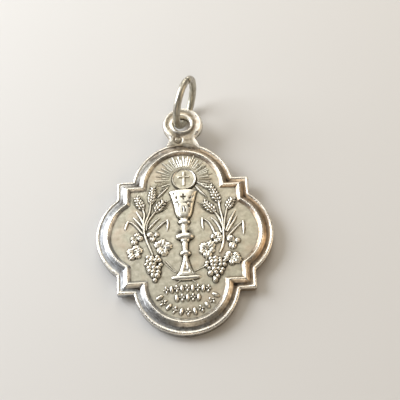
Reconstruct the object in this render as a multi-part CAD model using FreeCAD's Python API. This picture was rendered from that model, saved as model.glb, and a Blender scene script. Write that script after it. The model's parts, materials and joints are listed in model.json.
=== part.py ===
import FreeCAD, Part
import math
import os

# A struck silver medal and its wire jump ring, in millimetres.
#
# The medal lies on its back: +X is to the right across its face, +Y runs up to the hanging eye, and +Z
# comes out of the face. The origin is the middle of the flat back. The medal, its border, relief and
# hanging eye are one piece of metal, struck and trimmed from one blank, so they are one solid. The ring
# is bent from round wire, goes through the eye and swings on it.

# The outline: a rectangle whose corners stand between four round lobes
LOBE_R = 5.45            # all four lobes
LOBE_X = 3.77            # centres of the left and right lobes, from the middle
LOBE_Y = 5.50            # centres of the top and bottom lobes
CORNER_X = 7.05          # the rectangle's half width
CORNER_Y = 6.42          # and half height
CORNER_IN_X = 0.90       # how fast the corners move in, for each mm that the lobes do
CORNER_IN_Y = 0.82

# The border on the face, as insets from the edge and heights above the back
RIM_INSET = 0.36         # inner side of the outer rim
CHANNEL_INSET = 0.76     # where the sloping band meets the bead
BEAD_INSET = 1.13        # the bead's flat top begins here
BEAD_INNER = 1.27        # and ends here
WALL_INSET = 1.62        # foot of the sloping wall, on the field
RIM_TOP = 0.90
CHANNEL_FLOOR = 0.85     # the band begins this high, inside the rim
BAND_TOP = 0.92
BEAD_TOP = 1.20
FIELD = 0.95             # the sunk field that carries the relief

# The back: a plain panel in a sunk line
BACK_CHAMFER = 0.12
LINE_OUTER = 0.60
LINE_INNER = 1.10
LINE_DEPTH = 0.12

# The hanging eye and its neck
EYE_X, EYE_Y = 0.15, 13.40
EYE_R = 2.13
HOLE_R = 0.85
EYE_BOTTOM, EYE_TOP = 0.25, 1.20
EYE_ROUND = 0.38         # its edges are rounded, inside and out
NECK_TOP = 1.02
NECK_SHOULDER = 1.78     # half widths of the neck at the eye, at the waist and at the lobe
NECK_WAIST = 1.38
NECK_ROOT = 1.80
PUNCH_R = 0.40           # a round punch mark on the neck
PUNCH_DEPTH = 0.08

# The jump ring, standing on edge through the eye
RING_R = 2.65            # to the middle of the wire
WIRE_R = 0.40
RING_HEADING = 21.0      # degrees from +Y to +X: the way the ring's plane runs
RING_LEAN = 3.0          # degrees that the plane leans from upright
RING_LIFT = 52.0         # degrees that the ring's middle stands above the medal's plane
RING_REACH = 1.42        # from the bar that it hangs on to its middle
PIVOT = (0.20, 1.47)     # the bar, from the middle of the hole
SEAM_AT = 62.0           # degrees round the ring where the wire's two ends meet
SEAM_GAP = 0.04

# Heights of the relief above the field
ROOT = 0.25              # how deep each raised shape starts below the field
RAY_H, STEM_H, BLADE_H, LEAF_H, EAR_H = 0.10, 0.15, 0.18, 0.27, 0.31
BERRY_R = 0.27
CHALICE_Y = -0.12        # the chalice's heights below are measured from here
HOST_R, HOST_H = 1.30, 0.25
HOST_X, HOST_Y = 0.15, 6.33
CROSS_H = 0.33


def vec(x, y, z=0.0):
    return FreeCAD.Vector(x, y, z)


def quatrefoil(inset, z):
    """The outline moved in by inset: four arcs, and the two straight sides of each corner."""
    radius = LOBE_R - inset
    cx = CORNER_X - CORNER_IN_X * inset
    cy = CORNER_Y - CORNER_IN_Y * inset
    side = math.sqrt(radius**2 - (cx - LOBE_X) ** 2)     # where a side lobe meets the rectangle
    end = math.sqrt(radius**2 - (cy - LOBE_Y) ** 2)      # where a top or bottom lobe does
    arcs = [
        (vec(cx, -side, z), vec(LOBE_X + radius, 0, z), vec(cx, side, z)),
        (vec(end, cy, z), vec(0, LOBE_Y + radius, z), vec(-end, cy, z)),
        (vec(-cx, side, z), vec(-LOBE_X - radius, 0, z), vec(-cx, -side, z)),
        (vec(-end, -cy, z), vec(0, -LOBE_Y - radius, z), vec(end, -cy, z)),
    ]
    corners = [vec(cx, cy, z), vec(-cx, cy, z), vec(-cx, -cy, z), vec(cx, -cy, z)]
    edges = []
    for k, (start, middle, finish) in enumerate(arcs):
        following = arcs[(k + 1) % 4][0]
        edges.append(Part.Arc(start, middle, finish).toShape())
        edges.append(Part.LineSegment(finish, corners[k]).toShape())
        edges.append(Part.LineSegment(corners[k], following).toShape())
    return Part.Wire(edges)


def tapered(inset_low, z_low, inset_high, z_high):
    """A solid between the outline at one inset and height and the outline at another."""
    wires = [quatrefoil(inset_low, z_low), quatrefoil(inset_high, z_high)]
    return Part.makeLoft(wires, True, True)


def slab(points, top, bottom=FIELD - ROOT):
    """A flat-topped shape with the given corners, rooted under the field."""
    outline = Part.makePolygon([vec(x, y, bottom) for x, y in points + points[:1]])
    return Part.Face(outline).extrude(vec(0, 0, top - bottom))


def strip(path, widths, top):
    """A flat strip along a path, as wide at each point as widths says: a stem, a blade or a ray."""
    left, right = [], []
    for k, (x, y) in enumerate(path):
        x0, y0 = path[max(k - 1, 0)]
        x1, y1 = path[min(k + 1, len(path) - 1)]
        length = math.hypot(x1 - x0, y1 - y0)
        nx, ny = (y0 - y1) / length, (x1 - x0) / length
        half = widths[k] / 2
        left.append((x + nx * half, y + ny * half))
        right.append((x - nx * half, y - ny * half))
    return slab(left + right[::-1], top)


def border_and_field():
    """The blank with its border: thin rim, sloping band, bead, and the sunk field."""
    blank = tapered(BACK_CHAMFER, 0, 0, BACK_CHAMFER)
    blank = blank.fuse(tapered(0, BACK_CHAMFER, 0, CHANNEL_FLOOR))
    rim = tapered(0, CHANNEL_FLOOR, 0, RIM_TOP)
    rim = rim.cut(tapered(RIM_INSET, CHANNEL_FLOOR - 0.1, RIM_INSET, RIM_TOP + 0.1))
    band = tapered(RIM_INSET, CHANNEL_FLOOR, CHANNEL_INSET, BAND_TOP)
    bead = tapered(CHANNEL_INSET, BAND_TOP, BEAD_INSET, BEAD_TOP)
    above = 0.2
    spread = (WALL_INSET - BEAD_INNER) * above / (BEAD_TOP - FIELD)
    well = tapered(WALL_INSET, FIELD, BEAD_INNER - spread, BEAD_TOP + above)
    line = tapered(LINE_OUTER, -above, LINE_OUTER, LINE_DEPTH)
    line = line.cut(tapered(LINE_INNER, -2 * above, LINE_INNER, LINE_DEPTH + above))
    return blank.multiFuse([rim, band, bead]).cut(well).cut(line).removeSplitter()


def hanging_eye():
    """A rounded ring standing on a waisted neck. The hole is cut after the neck is on."""
    inner, outer, r = HOLE_R, EYE_R, EYE_ROUND
    low, high = EYE_BOTTOM, EYE_TOP
    k = r * (1 - math.sqrt(0.5))
    corners = [
        (vec(outer - r, 0, low), vec(outer - k, 0, low + k), vec(outer, 0, low + r)),
        (vec(outer, 0, high - r), vec(outer - k, 0, high - k), vec(outer - r, 0, high)),
        (vec(inner + r, 0, high), vec(inner + k, 0, high - k), vec(inner, 0, high - r)),
        (vec(inner, 0, low + r), vec(inner + k, 0, low + k), vec(inner + r, 0, low)),
    ]
    edges = []
    for i, (start, middle, finish) in enumerate(corners):
        edges.append(Part.Arc(start, middle, finish).toShape())
        edges.append(Part.LineSegment(finish, corners[(i + 1) % 4][0]).toShape())
    eye = Part.Face(Part.Wire(edges)).revolve(vec(0, 0), vec(0, 0, 1), 360)
    eye.translate(vec(EYE_X, EYE_Y))
    half = [(NECK_SHOULDER, EYE_Y - 1.2), (NECK_WAIST + 0.05, 11.5), (NECK_WAIST, 11.2)]
    half += [(NECK_WAIST + 0.1, 10.95), (NECK_ROOT, 10.55), (NECK_ROOT, 10.2)]
    sides = [(EYE_X + x, y) for x, y in half] + [(EYE_X - x, y) for x, y in half[::-1]]
    neck = slab(sides, NECK_TOP, EYE_BOTTOM)
    return eye.fuse(neck)


def chalice():
    """Cup, stem with its collars and knop, and foot, each a flat-topped shape of its own height."""
    parts = [
        ([(1.45, 5.00), (1.36, 4.55), (1.02, 3.30), (0.86, 2.45), (0.62, 1.90), (0.30, 1.62)], 0.48),
        ([(0.55, 1.62), (0.60, 1.35), (0.32, 1.08)], 0.36),
        ([(0.30, 1.12), (0.26, 0.60), (0.34, -0.05)], 0.33),
        ([(0.42, 0.10), (0.90, -0.28), (0.90, -0.46), (0.45, -0.78)], 0.50),
        ([(0.34, -0.70), (0.27, -1.20), (0.30, -1.98)], 0.32),
        ([(0.38, -1.94), (0.48, -2.22), (0.36, -2.52)], 0.40),
        ([(0.22, -2.46), (0.30, -3.20), (0.55, -4.00), (0.95, -4.60)], 0.35),
        ([(0.95, -4.50), (1.48, -4.82), (0.95, -5.02)], 0.30),
    ]
    made = []
    for half, height in parts:
        mirrored = [(-x, y) for x, y in half[::-1]]
        made.append(slab([(x, y + CHALICE_Y) for x, y in half + mirrored], FIELD + height))
    return made


def host_and_rays():
    """The disc over the cup with a plain cross on it, and the rays round it."""
    bottom = FIELD - ROOT
    disc = Part.makeCylinder(HOST_R, HOST_H + ROOT, vec(HOST_X, HOST_Y, bottom))
    arm, thick = 0.75, 0.13
    upright = [(-thick, -arm), (thick, -arm), (thick, arm), (-thick, arm)]
    bar = [(-0.55, 0.12), (0.55, 0.12), (0.55, 0.38), (-0.55, 0.38)]
    cross = []
    for shape, rise in ((upright, CROSS_H), (bar, CROSS_H + 0.01)):
        cross.append(slab([(HOST_X + x, HOST_Y + y) for x, y in shape], FIELD + rise))
    rays = []
    count, first, last = 33, -26.0, 206.0
    lengths = (2.95, 2.25, 2.60)
    for k in range(count):
        angle = math.radians(first + (last - first) * k / (count - 1))
        reach = lengths[k % 3]
        ends = [(HOST_X + d * math.cos(angle), HOST_Y + d * math.sin(angle)) for d in (1.60, reach)]
        rays.append(strip(ends, (0.08, 0.17), FIELD + RAY_H))
    for path in ([(-1.55, 5.50), (-2.60, 4.40)], [(1.40, 5.38), (2.50, 4.10)]):
        rays.append(strip(path, (0.12, 0.22), FIELD + RAY_H))
    return [disc] + cross + rays


def ear(base, tip, width):
    """An ear of wheat: a pointed oval from base to tip."""
    (x0, y0), (x1, y1) = base, tip
    length = math.hypot(x1 - x0, y1 - y0)
    nx, ny = (y0 - y1) / length, (x1 - x0) / length
    outline = []
    steps = 8
    for side in (1, -1):
        for k in range(steps):
            t = k / steps if side == 1 else 1 - k / steps
            half = side * 0.5 * width * math.sin(math.pi * t) ** 0.7 if 0 < t < 1 else 0.0
            outline.append((x0 + (x1 - x0) * t + nx * half, y0 + (y1 - y0) * t + ny * half))
    return slab(outline, FIELD + EAR_H)


def leaf(x, y, size, turn):
    """A five-lobed vine leaf. turn is where its middle lobe points, in degrees."""
    outline = []
    for k in range(20):
        a = 2 * math.pi * k / 20
        r = size * (0.76 + 0.24 * math.cos(5 * a)) * (0.86 + 0.14 * math.cos(a))
        b = a + math.radians(turn)
        outline.append((x + r * math.cos(b), y + r * math.sin(b)))
    return slab(outline, FIELD + LEAF_H)


def bunch(x, y, rows, lean):
    """A hanging bunch of grapes. Each row has its own number of berries, and the tip leans."""
    berries = []
    pitch, drop = 0.44, 0.40
    for row, count in enumerate(rows):
        for k in range(count):
            bx = x + (k - (count - 1) / 2) * pitch + lean * row
            bz = FIELD + 0.10 + 0.04 * ((row + k) % 2)
            berries.append(Part.makeSphere(BERRY_R, vec(bx, y - drop * row, bz)))
    return berries


def left_spray():
    """Three ears, their stalks and blades, the vine leaves and the bunch of grapes on the left."""
    ears = [
        ear((-3.50, 3.70), (-3.08, 6.00), 0.78),
        ear((-4.32, 3.00), (-5.20, 4.90), 0.76),
        ear((-2.95, 2.65), (-1.75, 4.25), 0.80),
    ]
    stalks = [
        ([(-3.40, -2.30), (-3.85, -1.00), (-4.15, 0.30), (-3.98, 1.40), (-3.50, 3.80)], 0.18),
        ([(-4.12, 0.30), (-4.15, 1.60), (-4.35, 3.10)], 0.15),
        ([(-4.02, 0.40), (-3.70, 1.50), (-2.90, 2.75)], 0.15),
    ]
    blades = [
        [(-4.35, 0.10), (-5.00, 1.00), (-5.90, 1.56)],
        [(-5.85, 1.60), (-6.02, 1.20), (-6.18, 0.62)],
        [(-4.25, 0.80), (-4.75, 1.55), (-5.35, 2.12)],
        [(-4.12, 1.20), (-4.55, 2.15), (-5.02, 2.80)],
        [(-3.85, 0.55), (-3.25, 1.25), (-2.55, 1.88)],
        [(-3.30, 0.30), (-2.50, 0.95), (-1.78, 1.52)],
        [(-1.76, 1.58), (-1.72, 1.00), (-1.78, 0.34)],
    ]
    leaves = [
        leaf(-4.98, -0.42, 0.66, 250),
        leaf(-5.10, -2.00, 0.76, 230),
        leaf(-3.25, -0.20, 0.66, 300),
        leaf(-2.28, -1.52, 0.80, 350),
    ]
    return ears, stalks, blades, leaves, bunch(-3.38, -2.55, (4, 5, 4, 3, 2, 2, 1), 0.03)


def right_spray():
    """The same on the right, which is not a mirror of the left."""
    ears = [
        ear((3.80, 3.40), (2.75, 5.90), 0.84),
        ear((3.50, 2.00), (1.88, 3.92), 0.82),
        ear((4.48, 2.30), (5.50, 4.12), 0.76),
    ]
    stalks = [
        ([(3.55, -2.60), (3.98, -1.60), (4.12, -0.40), (4.05, 1.50), (3.78, 3.50)], 0.18),
        ([(4.14, 0.10), (3.95, 1.20), (3.45, 2.10)], 0.15),
        ([(4.12, 0.10), (4.22, 1.20), (4.50, 2.40)], 0.15),
    ]
    blades = [
        [(3.20, -0.20), (2.85, 0.85), (1.98, 1.54)],
        [(1.92, 1.58), (1.94, 0.90), (1.97, 0.22)],
        [(3.90, 0.00), (3.50, 1.00), (2.78, 1.66)],
        [(4.25, 0.05), (4.75, 1.35), (5.40, 2.34)],
        [(4.45, 0.20), (5.00, 1.00), (5.50, 1.74)],
        [(4.45, -0.50), (5.30, 0.25), (6.05, 0.98)],
        [(6.10, 1.02), (6.18, 0.40), (6.10, -0.52)],
    ]
    leaves = [
        leaf(3.22, -0.88, 0.66, 250),
        leaf(2.25, -2.02, 0.80, 220),
        leaf(5.12, -1.22, 0.72, 0),
        leaf(4.80, -3.12, 0.84, 330),
    ]
    return ears, stalks, blades, leaves, bunch(3.08, -2.98, (4, 5, 5, 4, 3, 2, 1), -0.01)


def sprays():
    """Both sprays, and the two vine stems that cross behind the chalice's foot."""
    made = []
    for ears, stalks, blades, leaves, grapes in (left_spray(), right_spray()):
        made += ears + leaves + grapes
        for path, width in stalks:
            widths = [width] * len(path)
            made.append(strip(path, widths, FIELD + STEM_H))
        for path in blades:
            made.append(strip(path, (0.20, 0.24, 0.06), FIELD + BLADE_H))
    for path in ([(-2.30, -3.10), (-1.10, -4.40), (-0.60, -4.80)], [(2.10, -3.65), (0.90, -4.35)],
                 [(0.40, -5.10), (0.98, -5.66)], [(-0.40, -5.10), (-0.98, -5.50)]):
        made.append(strip(path, [0.13] * len(path), FIELD + STEM_H - 0.04))
    return made


def ornament_rows():
    """Three rows of small raised lozenges under the chalice, where such a medal has its legend."""
    made = []
    places = [(0.52 * k, -6.12 - 0.02 * k * k, 0.0) for k in range(-4, 5)]
    places += [(0.52 * k, -7.12, 0.0) for k in range(-2, 3)]
    for k in range(-5, 6):
        angle = math.radians(-90 + 13.0 * k)
        places.append((3.10 * math.cos(angle), -5.50 + 3.10 * math.sin(angle), math.radians(13.0 * k)))
    for x, y, turn in places:
        shape = []
        for u, v in ((0.16, 0.0), (0.0, 0.30), (-0.16, 0.0), (0.0, -0.30)):
            shape.append((x + u * math.cos(turn) - v * math.sin(turn),
                          y + u * math.sin(turn) + v * math.cos(turn)))
        made.append(slab(shape, FIELD + 0.16))
    return made


def medal():
    """Everything that was struck and trimmed from the one blank."""
    body = border_and_field().fuse(hanging_eye())
    body = body.multiFuse(chalice() + host_and_rays() + sprays() + ornament_rows())
    punch_z = NECK_TOP - PUNCH_DEPTH
    body = body.cut(Part.makeCylinder(PUNCH_R, 1.0, vec(EYE_X - 0.45, 11.35, punch_z)))
    return body.removeSplitter()


def ring_frame():
    """The ring's three directions and its middle: along its plane, up in its plane, and its axis."""
    heading, lean = math.radians(RING_HEADING), math.radians(RING_LEAN)
    along = vec(math.sin(heading), math.cos(heading), 0)
    axis = vec(math.cos(lean) * math.cos(heading), -math.cos(lean) * math.sin(heading), math.sin(lean))
    up = axis.cross(along)
    pivot = vec(EYE_X + PIVOT[0], EYE_Y + PIVOT[1], (EYE_BOTTOM + EYE_TOP) / 2)
    lift = math.radians(RING_LIFT)
    middle = pivot + along * (RING_REACH * math.cos(lift)) + up * (RING_REACH * math.sin(lift))
    return along, up, axis, pivot, middle


def jump_ring():
    """A turn of round wire whose two ends meet in a fine seam."""
    along, up, axis, pivot, middle = ring_frame()
    ring = Part.makeTorus(RING_R, WIRE_R, middle, axis)
    at = math.radians(SEAM_AT)
    out = along * math.cos(at) + up * math.sin(at)
    tangent = axis.cross(out)
    size = 4 * WIRE_R
    cutter = Part.makeBox(size, size, SEAM_GAP, vec(-size / 2, -size / 2, -SEAM_GAP / 2))
    cutter.Placement = FreeCAD.Placement(middle + out * RING_R, FreeCAD.Rotation(out, axis, tangent, "ZXY"))
    return ring.cut(cutter)


os.makedirs("parts", exist_ok=True)
for name, shape in (("medal", medal()), ("jump_ring", jump_ring())):
    solids = shape.Solids
    assert len(solids) == 1 and solids[0].isValid(), f"{name}: {len(solids)} solids"
    solids[0].exportStep(f"parts/{name}.step")
    box = solids[0].BoundBox
    print(f"{name}: {solids[0].Volume:.2f} mm3, x {box.XMin:.2f} {box.XMax:.2f}, "
          f"y {box.YMin:.2f} {box.YMax:.2f}, z {box.ZMin:.2f} {box.ZMax:.2f}")
along, up, axis, pivot, middle = ring_frame()
print("ring pivot", [round(v, 4) for v in pivot], "axis", [round(v, 5) for v in axis],
      "middle", [round(v, 4) for v in middle])
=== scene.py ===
import json
import math

import bmesh
import bpy
import numpy as np
from mathutils import Matrix, Vector
from mathutils.bvhtree import BVHTree

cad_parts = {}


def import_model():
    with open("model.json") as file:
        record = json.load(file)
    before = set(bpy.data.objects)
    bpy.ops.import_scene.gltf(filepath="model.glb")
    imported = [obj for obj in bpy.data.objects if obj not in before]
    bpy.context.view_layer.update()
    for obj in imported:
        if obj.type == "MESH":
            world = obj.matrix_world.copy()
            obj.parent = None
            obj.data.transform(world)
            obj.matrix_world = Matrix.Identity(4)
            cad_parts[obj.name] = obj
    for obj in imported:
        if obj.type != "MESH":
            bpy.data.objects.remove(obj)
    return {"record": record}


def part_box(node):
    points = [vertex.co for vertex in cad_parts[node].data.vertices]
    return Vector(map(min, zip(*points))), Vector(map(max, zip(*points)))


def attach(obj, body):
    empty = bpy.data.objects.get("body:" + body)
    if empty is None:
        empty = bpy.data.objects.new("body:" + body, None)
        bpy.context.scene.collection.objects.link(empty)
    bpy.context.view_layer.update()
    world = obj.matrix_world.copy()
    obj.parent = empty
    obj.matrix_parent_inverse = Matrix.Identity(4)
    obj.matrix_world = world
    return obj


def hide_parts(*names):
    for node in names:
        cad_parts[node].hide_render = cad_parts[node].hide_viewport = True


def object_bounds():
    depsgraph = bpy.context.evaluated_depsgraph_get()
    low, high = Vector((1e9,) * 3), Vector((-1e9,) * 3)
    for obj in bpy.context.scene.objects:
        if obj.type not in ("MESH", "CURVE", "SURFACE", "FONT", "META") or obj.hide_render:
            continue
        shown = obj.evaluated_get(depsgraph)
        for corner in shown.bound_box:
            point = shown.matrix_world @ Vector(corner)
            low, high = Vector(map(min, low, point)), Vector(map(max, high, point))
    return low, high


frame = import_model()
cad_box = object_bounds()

# A struck silver communion medal and its wire jump ring. Sizes are in millimetres in the medal's own
# frame: +X to the right across the face, +Y up to the hanging eye, +Z out of the face, and z = 0 on the
# flat back. MM turns them to metres where a mesh, lamp or camera is made.
MM = 0.001

MEDAL = "medal_body"
RING = "ring_body"

# The outline: four round lobes and a rectangle whose corners stand between them
LOBE_R = 5.45
LOBE_X, LOBE_Y = 3.77, 5.50
CORNER_X, CORNER_Y = 7.05, 6.42
CORNER_IN_X, CORNER_IN_Y = 0.90, 0.82    # how fast the corners move in, for each mm that the lobes do
FIELD = 0.95                             # height of the sunk field above the back

# The border in section, as (inset from the edge, height), from the chamfered back edge over the thin rim,
# up the sloping band, over the bead and down the wall to below the field
EDGE_SIDE = [(0.12, 0.00), (0.06, 0.03), (0.01, 0.11), (0.00, 0.35), (0.00, 0.60), (0.01, 0.72)]
THIN_RIM = [(0.05, 0.820), (0.13, 0.885), (0.23, 0.900), (0.32, 0.870)]
SLOPING_BAND = [(0.38, 0.848), (0.48, 0.855), (0.62, 0.882), (0.74, 0.915)]
BEAD = [(0.84, 0.975), (0.96, 1.065), (1.08, 1.150), (1.19, 1.200), (1.27, 1.190), (1.34, 1.145)]
WALL = [(1.42, 1.080), (1.51, 1.010), (1.60, 0.950), (1.66, 0.880), (1.70, 0.800)]
FIELD_INSET = 1.56                       # the field runs in under the wall as far as this
LINE_OUTER, LINE_INNER, LINE_DEPTH = 0.60, 1.10, 0.12    # the sunk line round the back

# The hanging eye and its neck
EYE_X, EYE_Y = 0.15, 13.40
EYE_R, HOLE_R = 2.13, 0.85
EYE_BOTTOM, EYE_TOP = 0.25, 1.20
NECK_END = 9.95
NECK_SIDE = [    # height on the face, half width
    (9.90, 2.30), (10.30, 2.10), (10.75, 1.72), (11.00, 1.46), (11.25, 1.38), (11.60, 1.44), (12.40, 1.86)]
EDGE_RISE = 0.34                         # the rounded lip and brim rise this far above the side wall
LIP_WIDTH, BRIM_WIDTH = 0.30, 0.26       # at the hole and at the outer edge
HOLLOW_AT, HOLLOW_WIDTH, HOLLOW_DEPTH = 0.66, 0.26, 0.12    # the first is its distance from the hole
NECK_DROP_Y, NECK_DROP_OVER, NECK_DROP = 12.5, 1.3, 0.19    # the neck is lower than the eye
UNDER_WIDTH, UNDER_RISE = 0.32, 0.27     # the rounding of the back
PUNCH_X, PUNCH_Y, PUNCH_R = -0.30, 11.38, 0.40

# The jump ring
RING_R, WIRE_R = 2.65, 0.40
SEAM_AT = 62.0                           # degrees round the ring where the wire's ends meet
SEAM_GAP = 0.05
END_THIN, END_LENGTH = 0.20, 0.09        # the nipped ends are thinner by this share, over this length
END_MISS, END_BEND = 0.05, 0.5           # how far the ends miss each other, and over how many radians


# ---------------------------------------------------------------- curves, skins and pieces

def curve_through(points, per_span):
    """A smooth curve through the given points, with per_span steps between neighbours."""
    p = np.asarray(points, float)
    padded = np.vstack([2 * p[0] - p[1], p, 2 * p[-1] - p[-2]])
    t = np.linspace(0, 1, per_span, endpoint=False)[:, None]
    spans = []
    for a, b, c, d in zip(padded[:-3], padded[1:-2], padded[2:-1], padded[3:]):
        bend = (2 * a - 5 * b + 4 * c - d) * t**2 + (3 * b - a - 3 * c + d) * t**3
        spans.append(b + 0.5 * ((c - a) * t + bend))
    return np.vstack(spans + [p[-1:]])


def skin(rows, ends="fans"):
    """Points and faces of a skin over closed rows of points. ends is fans, which close it, or joined."""
    rows = np.asarray(rows, float)
    count, around = rows.shape[:2]
    points = rows.reshape(-1, 3)
    k = np.arange(around)
    following = np.roll(k, -1)
    faces = []
    for row in range(count if ends == "joined" else count - 1):
        low = row * around
        high = (row + 1) % count * around
        faces += np.stack([low + k, low + following, high + following, high + k], 1).tolist()
    if ends == "fans":
        for row in (0, count - 1):
            centre = len(points)
            points = np.vstack([points, rows[row].mean(0)])
            low = row * around
            fan = np.stack([low + following, low + k, np.full(around, centre)], 1)
            faces += (fan if row == 0 else fan[:, ::-1]).tolist()
    return points, faces


def gathered(skins):
    """Several skins as one."""
    points, faces, start = [], [], 0
    for skin_points, skin_faces in skins:
        points.append(skin_points)
        faces += [[start + corner for corner in face] for face in skin_faces]
        start += len(skin_points)
    return np.vstack(points), faces


def finished(name, mesh, material, sharp, body=MEDAL):
    """Makes a mesh a piece: gives it its finish, fastens it to what it rides on and hides the part that it
    stands for.
    """
    mesh.materials.append(material)
    mesh.shade_smooth()
    mesh.set_sharp_from_angle(angle=math.radians(sharp))
    obj = bpy.data.objects.new(name, mesh)
    bpy.context.scene.collection.objects.link(obj)
    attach(obj, body)
    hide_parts("medal" if body == MEDAL else "jump_ring")
    return obj


def piece(name, made, material, body=MEDAL):
    """A closed piece from points and faces in the frame's place, with its normals outwards."""
    points, faces = made
    mesh = bpy.data.meshes.new(name)
    mesh.from_pydata((points * MM).tolist(), [], faces)
    work = bmesh.new()
    work.from_mesh(mesh)
    bmesh.ops.remove_doubles(work, verts=work.verts, dist=1e-8)
    bmesh.ops.recalc_face_normals(work, faces=work.faces)
    work.to_mesh(mesh)
    work.free()
    return finished(name, mesh, material, 38.0, body)


def uneven(points, size, amount, seed):
    """Smooth unevenness at each point: twelve waves about size mm long that add up to about amount mm."""
    draw = np.random.default_rng(seed)
    total = np.zeros(len(points))
    for _ in range(12):
        way = draw.normal(size=3)
        way *= 2 * math.pi / (size * draw.uniform(0.6, 1.6)) / np.linalg.norm(way)
        total += np.sin(points @ way + draw.uniform(0, 2 * math.pi))
    return total * amount / 12**0.5


def stroke_distance(x, y, start, end):
    """How far each point is from a straight stroke."""
    (x0, y0), (x1, y1) = start, end
    along = np.clip(((x - x0) * (x1 - x0) + (y - y0) * (y1 - y0)) / ((x1 - x0)**2 + (y1 - y0)**2), 0, 1)
    return np.hypot(x - x0 - along * (x1 - x0), y - y0 - along * (y1 - y0))


def cut_by(x, y, strokes):
    """Depth of the grooves that the strokes cut at each point. A stroke is start, end, half width, depth."""
    depth = np.zeros_like(x)
    for start, end, half_width, deep in strokes:
        depth = np.maximum(depth, deep * np.exp(-(stroke_distance(x, y, start, end) / half_width) ** 4))
    return depth


# ---------------------------------------------------------------- the blank: border, field and back

def smoothed(row, steps):
    """A closed row of points or values, blurred over about so many steps."""
    turns = np.fft.fftfreq(len(row)).reshape([-1] + [1] * (row.ndim - 1))
    return np.fft.ifft(np.fft.fft(row, axis=0) * np.exp(-2 * (math.pi * steps * turns) ** 2), axis=0).real


def outline(inset):
    """The outline moved in by inset, as a closed row of points, its corners rounded by wear."""
    radius = LOBE_R - inset
    cx = CORNER_X - CORNER_IN_X * inset
    cy = CORNER_Y - CORNER_IN_Y * inset
    side_turn = math.asin(math.sqrt(radius**2 - (cx - LOBE_X) ** 2) / radius)
    end_turn = math.acos((cy - LOBE_Y) / radius)
    side_steps, end_steps, straight_steps = 100, 156, 20
    row = []
    for quarter, (mx, my, half, steps) in enumerate([
            (LOBE_X, 0.0, side_turn, side_steps), (0.0, LOBE_Y, end_turn, end_steps),
            (-LOBE_X, 0.0, side_turn, side_steps), (0.0, -LOBE_Y, end_turn, end_steps)]):
        middle = quarter * math.pi / 2
        for a in np.linspace(middle - half, middle + half, steps, endpoint=False):
            row.append((mx + radius * math.cos(a), my + radius * math.sin(a)))
        finish = np.array([mx + radius * math.cos(middle + half), my + radius * math.sin(middle + half)])
        corner = np.array([(cx, cy), (-cx, cy), (-cx, -cy), (cx, -cy)][quarter])
        if quarter % 2 == 0:
            following = np.array([math.copysign(math.sin(end_turn) * radius, corner[0]), corner[1]])
        else:
            side = math.sin(side_turn) * radius
            following = np.array([corner[0], math.copysign(side, corner[1])])
        for start, end in ((finish, corner), (corner, following)):
            for t in np.linspace(0, 1, straight_steps, endpoint=False):
                row.append(tuple(start + (end - start) * t))
    return smoothed(np.array(row), 1.5)


def level(inset, z):
    """The outline moved in by inset, at one height."""
    row = outline(inset)
    return np.column_stack([row, np.full(len(row), z)])


def border(material):
    """The whole rim in section, taken once round the outline."""
    face = curve_through(EDGE_SIDE + THIN_RIM + SLOPING_BAND + BEAD + WALL, 3)
    under = [(WALL[-1][0], LINE_DEPTH), (LINE_OUTER, LINE_DEPTH)]
    under += [(LINE_OUTER - 0.04, 0.02), (LINE_OUTER - 0.07, 0.0)]
    rows = np.array([level(inset, z) for inset, z in np.vstack([face, under])])
    points = rows.reshape(-1, 3)
    on_face = np.clip((points[:, 2] - 0.72) / 0.1, 0, 1)
    points[:, 2] += on_face * (uneven(points, 2.6, 0.012, 3) + uneven(points, 0.7, 0.004, 4))
    points[:, :2] *= (1 + uneven(points, 3.5, 0.0011, 5))[:, None]
    return piece("border", skin(points.reshape(rows.shape), "joined"), material)


def disc_inside(row, shares, top, bottom, inner_share=0.05):
    """Rings of points from a closed row in to near the middle: the top face, and a flat underside."""
    flat = np.column_stack([row, np.zeros(len(row))])
    rows = [flat + (0, 0, bottom)]
    rows += [flat * (share, share, 1) + (0, 0, top) for share in np.append(shares, inner_share)]
    return np.array(rows)


def field(material):
    """The sunk field, gently uneven as a worn die leaves it. It runs in under the wall."""
    rows = disc_inside(outline(FIELD_INSET), np.linspace(1, 0.14, 100), FIELD, FIELD - 0.3)
    points = rows[1:].reshape(-1, 3)
    points[:, 2] += uneven(points, 3.0, 0.010, 8) + uneven(points, 0.8, 0.004, 9)
    return piece("field", skin(rows), material)


def reverse(material):
    """The plain panel on the back, inside its sunk line."""
    shares = np.linspace(1, 0.14, 60)
    rows = disc_inside(outline(LINE_INNER), shares, 0.0, LINE_DEPTH + 0.3)
    rows[1, :, 2] = 0.05
    points = rows[2:].reshape(-1, 3)
    points[:, 2] += 0.004 + np.abs(uneven(points, 4.0, 0.006, 12))
    return piece("reverse_panel", skin(rows), material)


# ---------------------------------------------------------------- the hanging eye and the ring

def eye_outline(angles):
    """How far the eye's and neck's edge is from the hole's middle, at each angle."""
    ys, halves = np.array(NECK_SIDE).T
    reach = np.linspace(EYE_R - 0.4, 4.2, 500)
    edge = []
    for a in angles:
        x, y = reach * math.cos(a), EYE_Y + reach * math.sin(a)
        in_neck = (np.abs(x) < np.interp(y, ys, halves)) & (y > NECK_END) & (y < ys[-1])
        eye = EYE_R + 0.20 * max(0.0, math.cos(a)) ** 2    # the hole is off centre, to the left
        edge.append(max([eye] + reach[in_neck].tolist()))
    return np.array(edge)


def rounded(share):
    """How high a rounded edge stands, from 0 at its side to 1 where it meets the flat."""
    return 1 - np.clip(1 - share, 0, 1) ** 2.2


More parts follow.
